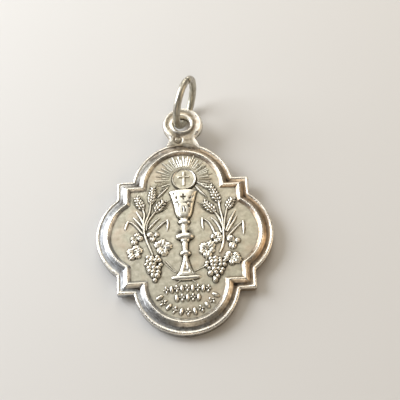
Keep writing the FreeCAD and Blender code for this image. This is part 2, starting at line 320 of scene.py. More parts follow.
def hanging_eye(material):
    """The eye and neck: a raised edge all round, a hollow, and a raised lip at the hole."""
    angles = np.linspace(0, 2 * math.pi, 400, endpoint=False)
    edge = smoothed(eye_outline(angles), 2.0)
    shares = 0.5 - 0.5 * np.cos(np.linspace(0, math.pi, 45))
    rows = []
    for share in shares:
        reach = HOLE_R + (edge - HOLE_R) * share
        from_hole, from_edge = reach - HOLE_R, edge - reach
        x, y = EYE_X + reach * np.cos(angles), EYE_Y + reach * np.sin(angles)
        edges = EDGE_RISE * (rounded(from_hole / LIP_WIDTH) + rounded(from_edge / BRIM_WIDTH))
        hollow = HOLLOW_DEPTH * np.exp(-((from_hole - HOLLOW_AT) / HOLLOW_WIDTH) ** 2)
        hollow *= np.clip(from_edge / 0.25, 0, 1)
        down = np.clip((NECK_DROP_Y - y) / NECK_DROP_OVER, 0, 1)
        z = EYE_TOP - 2 * EDGE_RISE + edges - hollow - NECK_DROP * down * down * (3 - 2 * down)
        under_rim = LOBE_R - np.hypot(x, y - LOBE_Y)    # the neck's root dips under the border
        z -= np.interp(under_rim, (-0.5, 0.0, 0.4, 0.7, 1.1), (0.0, 0.06, 0.15, 0.20, 0.36))
        punch = np.hypot(x - PUNCH_X, y - PUNCH_Y) / PUNCH_R
        z -= 0.065 * np.exp(-((punch - 1.05) / 0.26) ** 2) + 0.025 * (punch < 1.0)
        rows.append(np.column_stack([x, y, z]))
    for share in shares[::-1]:
        reach = HOLE_R + (edge - HOLE_R) * share
        to_side = np.minimum(reach - HOLE_R, edge - reach)
        z = EYE_BOTTOM + UNDER_RISE * (1 - rounded(to_side / UNDER_WIDTH))
        rows.append(np.column_stack([EYE_X + reach * np.cos(angles), EYE_Y + reach * np.sin(angles), z]))
    points = np.array(rows).reshape(-1, 3)
    points[:, 2] += uneven(points, 1.6, 0.012, 21) + uneven(points, 0.5, 0.004, 22)
    return piece("hanging_eye", skin(points.reshape(len(rows), -1, 3), "joined"), material)


def ring_directions():
    """The ring's middle, its axis, and two directions in its plane: level, and up."""
    mount = next(m for m in frame["record"]["mounts"] if m["name"] == "chain_loop")
    middle = np.array(mount["pos_m"]) / MM
    axis = np.array(mount["axis"])
    axis /= np.linalg.norm(axis)
    along = np.cross((0, 0, 1), axis)
    along /= np.linalg.norm(along)
    return middle, axis, along, np.cross(axis, along)


def jump_ring(material):
    """One turn of wire, its cut ends meeting a little off each other."""
    middle, axis, along, up = ring_directions()
    steps, around = 220, 32
    half_gap = SEAM_GAP / 2 / RING_R
    turns = np.linspace(half_gap, 2 * math.pi - half_gap, steps)
    rows = []
    circle = np.linspace(0, 2 * math.pi, around, endpoint=False)
    for t in turns:
        a = math.radians(SEAM_AT) + t
        out = along * math.cos(a) + up * math.sin(a)
        from_end = min(t, 2 * math.pi - t) * RING_R
        wire = WIRE_R * (1 - END_THIN * max(0.0, 1 - from_end / END_LENGTH) ** 2)
        aside = END_MISS * (t / math.pi - 1)
        inward = END_MISS * max(0.0, 1 - t / END_BEND) ** 2
        core = middle + out * (RING_R - inward) + axis * aside
        rows.append(core + wire * (np.outer(np.cos(circle), out) + np.outer(np.sin(circle), axis)))
    points = np.array(rows).reshape(-1, 3)
    bump = uneven(points, 1.1, 0.006, 31)
    points += bump[:, None] * (0.4, 0.4, 0.8)
    return piece("jump_ring_wire", skin(points.reshape(steps, around, 3)), material, RING)


# ---------------------------------------------------------------- relief made one by one

CHALICE = [    # height on the face, half width, relief above the field
    (-5.00, 1.10, 0.10), (-4.94, 1.44, 0.19), (-4.82, 1.52, 0.24), (-4.70, 1.44, 0.25), (-4.60, 1.06, 0.23),
    (-4.30, 0.78, 0.27), (-4.00, 0.62, 0.29), (-3.20, 0.36, 0.30), (-2.66, 0.24, 0.28), (-2.52, 0.30, 0.30),
    (-2.42, 0.48, 0.37), (-2.24, 0.56, 0.41), (-2.06, 0.48, 0.38), (-1.96, 0.30, 0.30), (-1.50, 0.28, 0.30),
    (-1.15, 0.31, 0.31), (-1.00, 0.28, 0.31), (-0.92, 0.40, 0.34), (-0.78, 0.46, 0.36), (-0.68, 0.50, 0.36),
    (-0.62, 0.72, 0.41), (-0.50, 0.88, 0.46), (-0.32, 0.93, 0.48), (-0.14, 0.85, 0.46), (-0.04, 0.62, 0.40),
    (0.05, 0.35, 0.32), (0.30, 0.28, 0.30), (0.62, 0.30, 0.31), (0.92, 0.31, 0.31), (1.06, 0.38, 0.33),
    (1.16, 0.56, 0.37), (1.33, 0.64, 0.39), (1.48, 0.58, 0.37), (1.62, 0.42, 0.31), (1.74, 0.46, 0.32),
    (1.92, 0.68, 0.40), (2.45, 0.89, 0.46), (3.30, 1.05, 0.49), (4.10, 1.24, 0.50), (4.60, 1.38, 0.49),
    (4.84, 1.47, 0.47), (4.96, 1.48, 0.42), (5.04, 1.42, 0.30),
]
CHALICE_Y = -0.12    # the heights above and the cuts below are moved by this
CHALICE_CUTS = [    # start, end, half width, depth
    ((0.00, 3.90), (0.00, 4.42), 0.075, 0.12), ((-0.22, 4.16), (0.22, 4.16), 0.070, 0.12),
    ((0.70, 4.02), (0.74, 4.10), 0.11, 0.13), ((1.00, 4.22), (1.06, 4.34), 0.08, 0.09),
    ((-0.72, 4.04), (-0.68, 4.10), 0.10, 0.10), ((-1.02, 4.50), (-0.98, 4.60), 0.09, 0.07),
    ((-0.95, 3.58), (-0.35, 3.47), 0.05, 0.07), ((-0.35, 3.47), (0.35, 3.45), 0.045, 0.05),
    ((0.30, 3.45), (0.92, 3.56), 0.06, 0.10), ((-0.52, 3.40), (-0.48, 3.05), 0.05, 0.07),
    ((0.50, 3.16), (0.62, 3.05), 0.08, 0.11), ((-0.13, 2.95), (-0.12, 2.45), 0.05, 0.09),
    ((0.14, 2.98), (0.15, 2.42), 0.055, 0.11), ((-0.62, 2.86), (-0.52, 2.30), 0.04, 0.05),
    ((0.64, 2.80), (0.54, 2.25), 0.04, 0.06), ((-0.55, 1.84), (0.60, 1.80), 0.05, 0.08),
    ((0.00, -3.35), (0.00, -3.60), 0.07, 0.05), ((-0.02, -3.70), (0.02, -4.00), 0.14, 0.08),
    ((-0.12, -4.12), (0.14, -4.16), 0.19, 0.10), ((-1.05, -4.66), (0.0, -4.74), 0.035, 0.06),
    ((0.0, -4.74), (1.05, -4.66), 0.035, 0.06), ((-0.62, -4.38), (-0.36, -3.75), 0.045, 0.05),
    ((0.60, -4.38), (0.36, -3.75), 0.045, 0.06),
]


def chalice(material):
    """Cup, stem, knop and foot as one rounded relief, with its engraving cut in."""
    stations = curve_through(CHALICE, 7)
    turn = np.linspace(0, math.pi, 61)
    around = np.sign(np.cos(turn)) * np.abs(np.cos(turn)) ** 0.85
    crown = np.sin(turn) ** 0.80
    bow_y, bow = (-5.0, -4.5, -4.2, 4.3, 5.0), (-0.20, -0.13, 0.0, 0.0, 0.08)
    rows = []
    for y, half, rise in stations:
        x = half * around
        ys = y + np.interp(y, bow_y, bow) * (1 - around**2)
        z = FIELD - 0.05 + (rise + 0.05) * crown - 1.5 * cut_by(x, ys, CHALICE_CUTS) * crown
        top = np.column_stack([x, ys, z])
        under = np.array([(-half, y, FIELD - 0.2), (half, y, FIELD - 0.2)])
        rows.append(np.vstack([top, under]))
    points = np.array(rows).reshape(-1, 3)
    points[:, 1] += CHALICE_Y
    points[:, 2] += uneven(points, 1.2, 0.004, 41)
    return piece("chalice", skin(points.reshape(len(rows), -1, 3)), material)


HOST_X, HOST_Y, HOST_R = 0.15, 6.33, 1.30
CROSS_CUTS = [((0.0, -0.72), (0.0, 0.78), 0.13, 1.0), ((-0.52, 0.24), (0.52, 0.24), 0.12, 1.0)]


def host(material):
    """The disc over the cup: a thin raised edge and a plain raised cross."""
    shares = np.append(np.linspace(0.03, 0.84, 36), [0.88, 0.91, 0.94, 0.965, 0.985, 1.0])
    angles = np.linspace(0, 2 * math.pi, 150, endpoint=False)
    rows = []
    for share in shares:
        x, y = HOST_R * share * np.cos(angles), HOST_R * share * np.sin(angles)
        rim = 0.07 * math.exp(-((share - 0.93) / 0.05) ** 2)
        fall = 0.20 * max(0.0, (share - 0.94) / 0.06) ** 2
        z = FIELD + 0.20 + rim - fall + 0.085 * cut_by(x, y, CROSS_CUTS)
        rows.append(np.column_stack([HOST_X + x, HOST_Y + y, z]))
    rows.append(rows[-1] - (0, 0, 0.25))
    points = np.array(rows).reshape(-1, 3)
    points[:, 2] += uneven(points, 0.6, 0.007, 44)
    return piece("host", skin(points.reshape(len(rows), -1, 3)), material)


def raised_line(path, widths, rise, keel=2.0, sections=14, steps=7):
    """A stalk or blade lying on the field: its section is half buried. A low keel makes a sharp ridge."""
    line = curve_through(path, steps)
    width = np.interp(np.linspace(0, 1, len(line)), np.linspace(0, 1, len(widths)), widths)
    way = np.gradient(line, axis=0)
    way /= np.linalg.norm(way, axis=1)[:, None]
    turn = np.linspace(0, 2 * math.pi, sections, endpoint=False)
    across = np.cos(turn)
    up = np.sign(np.sin(turn)) * (1 - np.abs(across) ** keel) ** (1 / keel)
    rows = []
    for (x, y), (dx, dy), w in zip(line, way, width):
        high = rise * min(1.0, 0.35 + w / max(widths))
        half = across * w / 2
        rows.append(np.column_stack([x - dy * half, y + dx * half, FIELD - 0.02 + high * up]))
    return skin(rows)


LEFT_STALKS = [    # the line of the stalk, and its widths along it
    ([(-3.35, -2.35), (-3.62, -1.60), (-3.95, -0.70), (-4.20, 0.30), (-4.08, 1.30), (-3.60, 2.60),
      (-3.42, 3.80)], (0.16, 0.20, 0.22, 0.20, 0.17, 0.15)),
    ([(-4.22, 0.20), (-4.28, 1.30), (-4.15, 2.30), (-4.36, 3.10)], (0.16, 0.19, 0.17, 0.20)),
    ([(-3.98, 0.40), (-3.85, 1.30), (-3.40, 2.05), (-2.88, 2.72)], (0.12, 0.15, 0.17, 0.18)),
]
RIGHT_STALKS = [
    ([(3.48, -2.45), (3.80, -1.80), (3.98, -1.00), (4.02, 0.20), (3.98, 1.40), (3.78, 2.60), (3.72, 3.50)],
     (0.18, 0.24, 0.22, 0.18, 0.18, 0.22)),
    ([(3.98, 0.40), (3.72, 1.30), (3.42, 1.95), (3.10, 2.30)], (0.13, 0.20, 0.19, 0.16)),
    ([(4.12, 0.10), (4.20, 1.20), (4.45, 2.30), (4.60, 2.80)], (0.13, 0.17, 0.15, 0.14)),
]
LEFT_BLADES = [
    [(-4.30, 0.05), (-4.90, 0.85), (-5.42, 1.38), (-5.84, 1.58)],
    [(-5.84, 1.66), (-5.98, 1.34), (-6.10, 0.98), (-6.20, 0.62)],
    [(-4.28, 0.60), (-4.62, 1.18), (-4.98, 1.66), (-5.32, 2.06)],
    [(-4.22, 1.00), (-4.45, 1.72), (-4.74, 2.30), (-5.02, 2.76)],
    [(-3.75, 0.60), (-3.40, 1.02), (-2.98, 1.48), (-2.52, 1.86)],
    [(-2.98, 0.48), (-2.55, 0.92), (-2.15, 1.28), (-1.76, 1.52)],
    [(-1.76, 1.60), (-1.70, 1.24), (-1.74, 0.80), (-1.80, 0.34)],
    [(-2.72, 4.28), (-2.30, 4.70), (-1.96, 5.06), (-1.56, 5.48)],
]
RIGHT_BLADES = [
    [(3.12, -0.30), (2.92, 0.36), (2.56, 1.02), (1.98, 1.56)],
    [(1.90, 1.62), (1.88, 1.16), (1.90, 0.70), (1.98, 0.24)],
    [(3.82, -0.20), (3.62, 0.46), (3.28, 1.08), (2.78, 1.66)],
    [(4.24, -0.02), (4.62, 0.86), (5.00, 1.66), (5.44, 2.36)],
    [(4.42, -0.10), (4.80, 0.56), (5.18, 1.12), (5.50, 1.72)],
    [(4.30, -0.80), (4.85, -0.20), (5.40, 0.38), (6.06, 0.96)],
    [(6.12, 1.04), (6.14, 0.56), (6.12, 0.06), (6.06, -0.50)],
    [(1.36, 5.44), (1.72, 4.96), (2.10, 4.46), (2.54, 4.02)],
    [(1.50, 5.92), (1.90, 5.66), (2.26, 5.34), (2.60, 5.00)],
]
VINE_STEMS = [
    [(-2.36, -3.02), (-2.02, -3.46), (-1.62, -3.92), (-1.05, -4.42)],
    [(-2.02, -3.10), (-1.70, -3.50), (-1.36, -3.92), (-0.95, -4.36)],
    [(2.12, -3.62), (1.75, -3.92), (1.36, -4.12), (0.86, -4.36)],
    [(0.36, -5.06), (0.58, -5.28), (0.78, -5.46), (1.00, -5.64)],
    [(-0.36, -5.06), (-0.58, -5.22), (-0.80, -5.38), (-1.02, -5.52)],
]


def stalks(name, lines, material):
    """The round stems of one spray of wheat."""
    made = [raised_line(path, np.array(widths) * 1.15, 0.21) for path, widths in lines]
    return piece(name, gathered(made), material)


def blades(name, lines, material):
    """Long leaves of the wheat: widest near the foot, ridged along the middle, pointed at the tip."""
    made = [raised_line(path, (0.17, 0.24, 0.22, 0.08), 0.17, keel=2.6) for path in lines]
    return piece(name, gathered(made), material)


def vine_stems(material):
    """The thin stems of the vines, and the two small tendrils under the chalice's foot."""
    made = [raised_line(path, (0.10, 0.14, 0.13, 0.10), 0.12) for path in VINE_STEMS]
    return piece("vine_stems", gathered(made), material)


def vine_leaf(x, y, size, turn, lobes, seed):
    """A vine leaf: lobes of several sizes that swell side by side, with veins and small dents between."""
    draw = np.random.default_rng(seed)
    steps = 120
    angles = np.linspace(0, 2 * math.pi, steps, endpoint=False)
    places = np.arange(lobes) + draw.uniform(-0.20, 0.20, lobes)
    ways = math.radians(turn) + places * 2 * math.pi / lobes
    away = size * draw.uniform(0.42, 0.64, lobes)
    radii = size * draw.uniform(0.32, 0.50, lobes)
    turned = angles[:, None] - ways
    inside = radii**2 - (away * np.sin(turned)) ** 2
    reach = np.where(inside > 0, away * np.cos(turned) + np.sqrt(np.maximum(inside, 0)), 0).max(1)
    reach = np.maximum(reach, 0.46 * size) * (1 + 0.05 * np.sin(17 * angles + seed))
    dent_ways = ways + math.pi / lobes
    dent_reach = size * draw.uniform(0.16, 0.50, (lobes, 1))
    dents = np.column_stack([np.cos(dent_ways), np.sin(dent_ways)]) * dent_reach
    rows = []
    for share in np.append(np.linspace(0.03, 0.92, 22), [0.95, 0.975, 1.0]):
        px, py = reach * share * np.cos(angles), reach * share * np.sin(angles)
        swell = np.full(steps, 0.45)
        for way, out, radius in zip(ways, away, radii):
            lobe_x, lobe_y = out * math.cos(way), out * math.sin(way)
            dome = np.maximum(0, 1 - ((px - lobe_x) ** 2 + (py - lobe_y) ** 2) / (1.2 * radius) ** 2) ** 0.5
            tip = (lobe_x * 1.5, lobe_y * 1.5)
            vein = 0.22 * np.exp(-(stroke_distance(px, py, (0.0, 0.0), tip) / 0.05) ** 2)
            swell = np.maximum(swell, dome - vein * (dome > 0.3))
        for dent_x, dent_y in dents:
            swell -= 0.50 * np.exp(-((px - dent_x) ** 2 + (py - dent_y) ** 2) / 0.075**2)
        z = FIELD - 0.04 + 0.30 * np.maximum(0.10, swell) * (1 - share**10)
        rows.append(np.column_stack([x + px, y + py, z]))
    rows.append(rows[-1] - (0, 0, 0.15))
    return skin(rows)


LEFT_LEAVES = [    # middle, size, direction of the first lobe, lobes, seed
    (-5.00, -0.40, 0.80, 75, 4, 1), (-5.10, -1.96, 1.00, 235, 5, 2), (-3.20, -0.16, 0.80, 270, 3, 3),
    (-2.32, -1.50, 1.02, 80, 5, 4)]
RIGHT_LEAVES = [
    (3.26, -0.78, 0.86, 250, 4, 5), (2.28, -1.96, 1.06, 200, 5, 6), (5.02, -1.20, 0.92, 0, 3, 7),
    (4.74, -3.08, 1.06, 40, 5, 8)]


def vine_leaves(name, leaves, material):
    """The leaves of one vine."""
    return piece(name, gathered([vine_leaf(*leaf) for leaf in leaves]), material)


# ---------------------------------------------------------------- node trees: one way to add a node

MATHS = "ShaderNodeMath"
VECTOR = "ShaderNodeCombineXYZ"
RANGE = "ShaderNodeMapRange"
RANDOM = "FunctionNodeRandomValue"
TURNED = "GeometryNodeTransform"
SPREAD_OUT = "GeometryNodeInstanceOnPoints"
FLOAT_OUT = 1    # the output of a RANDOM node that holds the number


def add(tree, kind, inputs=(), **settings):
    """Adds a node. inputs gives, in order or by name or number, a value, or a socket or node to join."""
    node = tree.nodes.new(kind)
    for key, value in settings.items():
        setattr(node, key, value)
    for key, value in inputs.items() if isinstance(inputs, dict) else enumerate(inputs):
        if isinstance(value, bpy.types.Node):
            value = value.outputs[0]
        if isinstance(value, bpy.types.NodeSocket):
            tree.links.new(value, node.inputs[key])
        else:
            node.inputs[key].default_value = value
    return node


# ---------------------------------------------------------------- relief that repeats, by geometry nodes

def growing_tree(name, sizes):
    """A geometry tree with a geometry input, the named sizes and a material, and its group input."""
    tree = bpy.data.node_groups.new(name, "GeometryNodeTree")
    tree.interface.new_socket("Geometry", in_out="OUTPUT", socket_type="NodeSocketGeometry")
    tree.interface.new_socket("Geometry", in_out="INPUT", socket_type="NodeSocketGeometry")
    for size, kind in sizes.items():
        tree.interface.new_socket(size, in_out="INPUT", socket_type=f"NodeSocket{kind}")
    tree.interface.new_socket("Material", in_out="INPUT", socket_type="NodeSocketMaterial")
    return tree, add(tree, "NodeGroupInput").outputs


def finish_tree(tree, given, instances):
    """Realises the instances, gives them the material and sends them out."""
    real = add(tree, "GeometryNodeRealizeInstances", [instances])
    smooth = add(tree, "GeometryNodeSetShadeSmooth", {"Geometry": real})
    painted = add(tree, "GeometryNodeSetMaterial", {"Geometry": smooth, "Material": given["Material"]})
    add(tree, "NodeGroupOutput", [painted])
    return tree


def grown(name, tree, sizes, material, seed_points=((0, 0, 0),)):
    """Runs a geometry tree on some points and returns its result as a plain mesh, in metres."""
    base = bpy.data.meshes.new(name + "_seed")
    base.from_pydata([tuple(c * MM for c in p) for p in seed_points], [], [])
    carrier = bpy.data.objects.new(name + "_seed", base)
    bpy.context.scene.collection.objects.link(carrier)
    modifier = carrier.modifiers.new("grow", "NODES")
    modifier.node_group = tree
    given = dict(sizes, Material=material)
    for item in tree.interface.items_tree:
        if item.in_out == "INPUT" and item.name in given:
            modifier[item.identifier] = given[item.name]
    depsgraph = bpy.context.evaluated_depsgraph_get()
    mesh = bpy.data.meshes.new_from_object(carrier.evaluated_get(depsgraph))
    carrier.modifiers.remove(modifier)
    bpy.data.objects.remove(carrier)
    return mesh


def joined_meshes(name, meshes, material):
    """One piece of several grown meshes."""
    work = bmesh.new()
    for mesh in meshes:
        work.from_mesh(mesh)
    bmesh.ops.recalc_face_normals(work, faces=work.faces)
    whole = bpy.data.meshes.new(name)
    work.to_mesh(whole)
    work.free()
    for face in whole.polygons:
        face.material_index = 0
    return finished(name, whole, material, 50.0)


def move_to(x, y, z):
    """The matrix that moves a mesh by millimetres."""
    return Matrix.Translation(Vector((x, y, z)) * MM)


def even_shares(tree, count):
    """Each point's index, and its share of the way to the last one."""
    index = add(tree, "GeometryNodeInputIndex")
    last_index = add(tree, MATHS, (count, 1.0), operation="SUBTRACT")
    return index, add(tree, MATHS, (index, last_index), operation="DIVIDE")


def points_on_arc(tree, count, radius, angle):
    """Points at these angles on an arc about the origin."""
    cosine = add(tree, MATHS, [angle], operation="COSINE")
    sine = add(tree, MATHS, [angle], operation="SINE")
    x = add(tree, MATHS, (radius, cosine), operation="MULTIPLY")
    y = add(tree, MATHS, (radius, sine), operation="MULTIPLY")
    place = add(tree, VECTOR, (x, y))
    return add(tree, "GeometryNodePoints", {"Count": count, "Position": place})


def sunburst_tree():
    """Tapered rays set round a middle, each of its own length and width."""
    tree, given = growing_tree("sunburst", {
        "Count": "Int", "First": "Float", "Last": "Float", "Inner": "Float", "Shortest": "Float",
        "Longest": "Float", "Width": "Float", "Rise": "Float", "Seed": "Int"})
    share = even_shares(tree, given["Count"])[1]
    spread = add(tree, MATHS, (given["Last"], given["First"]), operation="SUBTRACT")
    evenly = add(tree, MATHS, (share, spread, given["First"]), operation="MULTIPLY_ADD")
    jitter = add(tree, RANDOM, {2: -0.03, 3: 0.03, "Seed": given["Seed"]}).outputs[FLOAT_OUT]
    angle = add(tree, MATHS, (jitter, evenly), operation="ADD")
    points = points_on_arc(tree, given["Count"], given["Inner"], angle)
    cone = add(tree, "GeometryNodeMeshCone", {
        "Vertices": 8, "Radius Top": 0.5, "Radius Bottom": 0.26, "Depth": 1.0, "Side Segments": 6})
    lying = add(tree, TURNED, {"Geometry": cone.outputs["Mesh"], "Rotation": (0.0, math.pi / 2, 0.0)})
    length_seed = add(tree, MATHS, (given["Seed"], 1.0), operation="ADD")
    width_seed = add(tree, MATHS, (given["Seed"], 2.0), operation="ADD")
    length = add(tree, RANDOM, {2: given["Shortest"], 3: given["Longest"], "Seed": length_seed})
    width = add(tree, RANDOM, {2: 0.65, 3: 1.35, "Seed": width_seed})
    wide = add(tree, MATHS, (width.outputs[FLOAT_OUT], given["Width"]), operation="MULTIPLY")
    scale = add(tree, VECTOR, (length.outputs[FLOAT_OUT], wide, given["Rise"]))
    turn = add(tree, VECTOR, {2: angle})
    burst = add(tree, SPREAD_OUT, {"Points": points, "Instance": lying, "Rotation": turn, "Scale": scale})
    return finish_tree(tree, given, burst)


def rays(material):
    """The glory round the host, in two overlapping sets so that no two gaps are alike."""
    tree = sunburst_tree()
    sets = []
    for count, first, last, shortest, longest, seed in (
            (21, -24, 204, 1.15, 1.55, 5), (20, -18, 198, 0.60, 1.20, 9)):
        sets.append(grown("rays", tree, {
            "Count": count, "First": math.radians(first), "Last": math.radians(last), "Inner": 1.62 * MM,
            "Shortest": shortest * MM, "Longest": longest * MM, "Width": 0.22 * MM, "Rise": 0.25 * MM,
            "Seed": seed}, material))
    made = joined_meshes("rays", sets, material)
    made.data.transform(move_to(HOST_X, HOST_Y, FIELD - 0.01))
    return made


def bunch_tree():
    """Berries on the given points, each of its own size."""
    tree, given = growing_tree("grape_bunch", {"Smallest": "Float", "Largest": "Float", "Seed": "Int"})
    berry = add(tree, "GeometryNodeMeshIcoSphere", {"Radius": 1.0, "Subdivisions": 3})
    size = add(tree, RANDOM, {2: given["Smallest"], 3: given["Largest"], "Seed": given["Seed"]})
    berries = add(tree, SPREAD_OUT, {
        "Points": given["Geometry"], "Instance": berry, "Scale": size.outputs[FLOAT_OUT]})
    return finish_tree(tree, given, berries)


def grapes(name, tree, x, y, rows, lean, seed, material):
    """A hanging bunch: rows of berries, heaped in the middle, and lower at the tip."""
    draw = np.random.default_rng(seed)
    spots = []
    for row, count in enumerate(rows):
        for k in range(count):
            across = k - (count - 1) / 2
            heap = 0.15 * max(0.0, 1 - (across / (0.5 * max(rows))) ** 2) * (1 if row < 5 else 0.6)
            berry_x = x + 0.44 * across + lean * row + draw.normal(0, 0.055)
            berry_y = y - 0.41 * row + draw.normal(0, 0.05)
            spots.append((berry_x, berry_y, FIELD + 0.03 + heap + draw.normal(0, 0.045)))
    mesh = grown(name, tree, {"Smallest": 0.17 * MM, "Largest": 0.28 * MM, "Seed": seed}, material, spots)
    return joined_meshes(name, [mesh], material)


def ear_tree():
    """An ear of wheat along X from the origin: grains that lean out by turns, a middle row, and awns."""
    tree, given = growing_tree("wheat_ear", {
        "Rows": "Int", "Length": "Float", "Width": "Float", "Grain": "Float", "Lean": "Float", "Seed": "Int"})
    index = add(tree, "GeometryNodeInputIndex")
    share = add(tree, MATHS, (index, given["Rows"]), operation="DIVIDE")
    parity = add(tree, MATHS, (index, 2.0), operation="MODULO")
    side = add(tree, MATHS, (parity, 2.0, -1.0), operation="MULTIPLY_ADD")    # -1 or 1, by turns

    # the ear is full near its foot and tapers to its tip
    towards_tip = add(tree, MATHS, (share, 2.2), operation="POWER")
    taper = add(tree, MATHS, (towards_tip, -0.55, 1.0), operation="MULTIPLY_ADD")
    from_foot = add(tree, MATHS, (share, 2.5, 0.55), operation="MULTIPLY_ADD")
    foot = add(tree, MATHS, (1.0, from_foot), operation="MINIMUM")
    swell = add(tree, MATHS, (taper, foot), operation="MULTIPLY")

    reach = add(tree, MATHS, (given["Width"], 0.30), operation="MULTIPLY")
    side_swell = add(tree, MATHS, (side, swell), operation="MULTIPLY")
    aside = add(tree, MATHS, (reach, side_swell), operation="MULTIPLY")
    along = add(tree, MATHS, (share, given["Length"]), operation="MULTIPLY")
    lean = add(tree, MATHS, (side, given["Lean"]), operation="MULTIPLY")
    wobble = add(tree, RANDOM, {2: -0.16, 3: 0.16, "Seed": given["Seed"]}).outputs[FLOAT_OUT]
    pick = add(tree, RANDOM, {2: 0.88, 3: 1.12, "Seed": given["Seed"]}).outputs[FLOAT_OUT]
    full = add(tree, MATHS, (swell, pick), operation="MULTIPLY")
    size = add(tree, MATHS, (given["Grain"], full), operation="MULTIPLY")
    thick = add(tree, MATHS, (size, 0.50), operation="MULTIPLY")

    grain = add(tree, "GeometryNodeMeshIcoSphere", {"Radius": 0.5, "Subdivisions": 3})
    cone = add(tree, "GeometryNodeMeshCone", {
        "Vertices": 6, "Radius Top": 0.06, "Radius Bottom": 0.5, "Depth": 1.0, "Side Segments": 3})
    awn = add(tree, TURNED, {"Geometry": cone.outputs["Mesh"], "Rotation": (0.0, math.pi / 2, 0.0)})

    outer_turn = add(tree, MATHS, (lean, wobble), operation="ADD")
    outer_rise = add(tree, MATHS, (size, 0.80), operation="MULTIPLY")
    middle_count = add(tree, MATHS, (given["Rows"], 2.0), operation="DIVIDE")
    middle_along = add(tree, MATHS, (along, 2.0), operation="MULTIPLY")
    middle_aside = add(tree, MATHS, (wobble, 0.10 * MM), operation="MULTIPLY")
    middle_rise = add(tree, MATHS, (size, 0.85), operation="MULTIPLY")
    awn_aside = add(tree, MATHS, (aside, 1.5), operation="MULTIPLY")
    awn_turn = add(tree, MATHS, (lean, 0.62), operation="MULTIPLY")
    awn_length = add(tree, MATHS, (given["Grain"], 1.55), operation="MULTIPLY")

    everything = add(tree, "GeometryNodeJoinGeometry")
    for count, place, shape, turn, scale in (
            (given["Rows"], (along, aside, 0.06 * MM), grain, outer_turn, (size, thick, outer_rise)),
            (middle_count, (middle_along, middle_aside, 0.12 * MM), grain, wobble,
             (size, thick, middle_rise)),
            (given["Rows"], (along, awn_aside, 0.0), awn, awn_turn, (awn_length, 0.075 * MM, 0.17 * MM))):
        position = add(tree, VECTOR, place)
        points = add(tree, "GeometryNodePoints", {"Count": count, "Position": position})
        row = add(tree, SPREAD_OUT, {
            "Points": points, "Instance": shape, "Rotation": add(tree, VECTOR, {2: turn}),
            "Scale": add(tree, VECTOR, scale)})
        tree.links.new(row.outputs[0], everything.inputs[0])
    return finish_tree(tree, given, everything)


# start, tip, width, rows of grains, seed
LEFT_EARS = [((-3.44, 3.62), (-3.14, 5.72), 0.84, 13, 51), ((-4.34, 2.98), (-5.06, 4.62), 0.92, 11, 52),
             ((-2.92, 2.68), (-1.86, 4.00), 1.05, 9, 53)]
RIGHT_EARS = [((3.72, 3.40), (2.84, 5.62), 0.96, 13, 54), ((3.16, 2.26), (2.02, 3.66), 1.02, 11, 55),
              ((4.60, 2.66), (5.34, 3.92), 0.96, 9, 56)]


def wheat_ears(name, tree, ears, material):
    """The ears of one spray, each grown along X and then turned to its own direction."""
    meshes = []
    for (x0, y0), (x1, y1), width, rows, seed in ears:
        length = math.hypot(x1 - x0, y1 - y0)
        mesh = grown(name, tree, {
            "Rows": rows, "Length": length * MM, "Width": width * MM, "Grain": 0.50 * MM,
            "Lean": math.radians(34), "Seed": seed}, material)
        turn = Matrix.Rotation(math.atan2(y1 - y0, x1 - x0), 4, "Z")
        mesh.transform(move_to(x0, y0, FIELD + 0.02) @ turn)
        meshes.append(mesh)
    return joined_meshes(name, meshes, material)


PETALS = [    # middle, half width, half height
    (0.0, 0.25, 0.105, 0.20), (0.0, -0.25, 0.105, 0.20), (0.17, 0.0, 0.12, 0.09), (-0.17, 0.0, 0.12, 0.09)]


def ornament_tree():
    """Along an arc or a nearly straight row: by turns a tall grain and a four-petalled flower."""
    tree, given = growing_tree("ornament_row", {
        "Count": "Int", "Radius": "Float", "Spread": "Float", "Middle": "Float", "Start": "Int"})
    index, share = even_shares(tree, given["Count"])
    from_middle = add(tree, MATHS, (share, 0.5), operation="SUBTRACT")
    angle = add(tree, MATHS, (from_middle, given["Spread"], given["Middle"]), operation="MULTIPLY_ADD")
    points = points_on_arc(tree, given["Count"], given["Radius"], angle)
    lean = add(tree, MATHS, (angle, given["Middle"]), operation="SUBTRACT")
    upright = add(tree, VECTOR, {2: lean})
    counted = add(tree, MATHS, (index, given["Start"]), operation="ADD")
    odd = add(tree, MATHS, (counted, 2.0), operation="MODULO")
    even = add(tree, MATHS, (1.0, odd), operation="SUBTRACT")

    ball = add(tree, "GeometryNodeMeshIcoSphere", {"Radius": 1.0, "Subdivisions": 2})
    grain = add(tree, TURNED, {"Geometry": ball, "Scale": (0.19 * MM, 0.43 * MM, 0.20 * MM)})
    flower = add(tree, "GeometryNodeJoinGeometry")
    for petal_x, petal_y, wide, high in PETALS:
        petal = add(tree, TURNED, {
            "Geometry": ball, "Translation": (petal_x * MM, petal_y * MM, 0.0),
            "Scale": (wide * MM, high * MM, 0.15 * MM)})
        tree.links.new(petal.outputs[0], flower.inputs[0])
    motifs = add(tree, "GeometryNodeJoinGeometry")
    for motif, chosen in ((grain, odd), (flower, even)):
        row = add(tree, SPREAD_OUT, {
            "Points": points, "Selection": chosen, "Instance": motif, "Rotation": upright})
        tree.links.new(row.outputs[0], motifs.inputs[0])
    return finish_tree(tree, given, motifs)


ORNAMENT_ROWS = [    # motifs, radius, spread and middle in degrees, the arc's centre y, first motif
    (9, 16.0, 15.2, 90, -22.12, 0), (5, 16.0, 7.8, 90, -23.10, 1), (11, 3.20, 122.0, -90, -5.44, 1)]


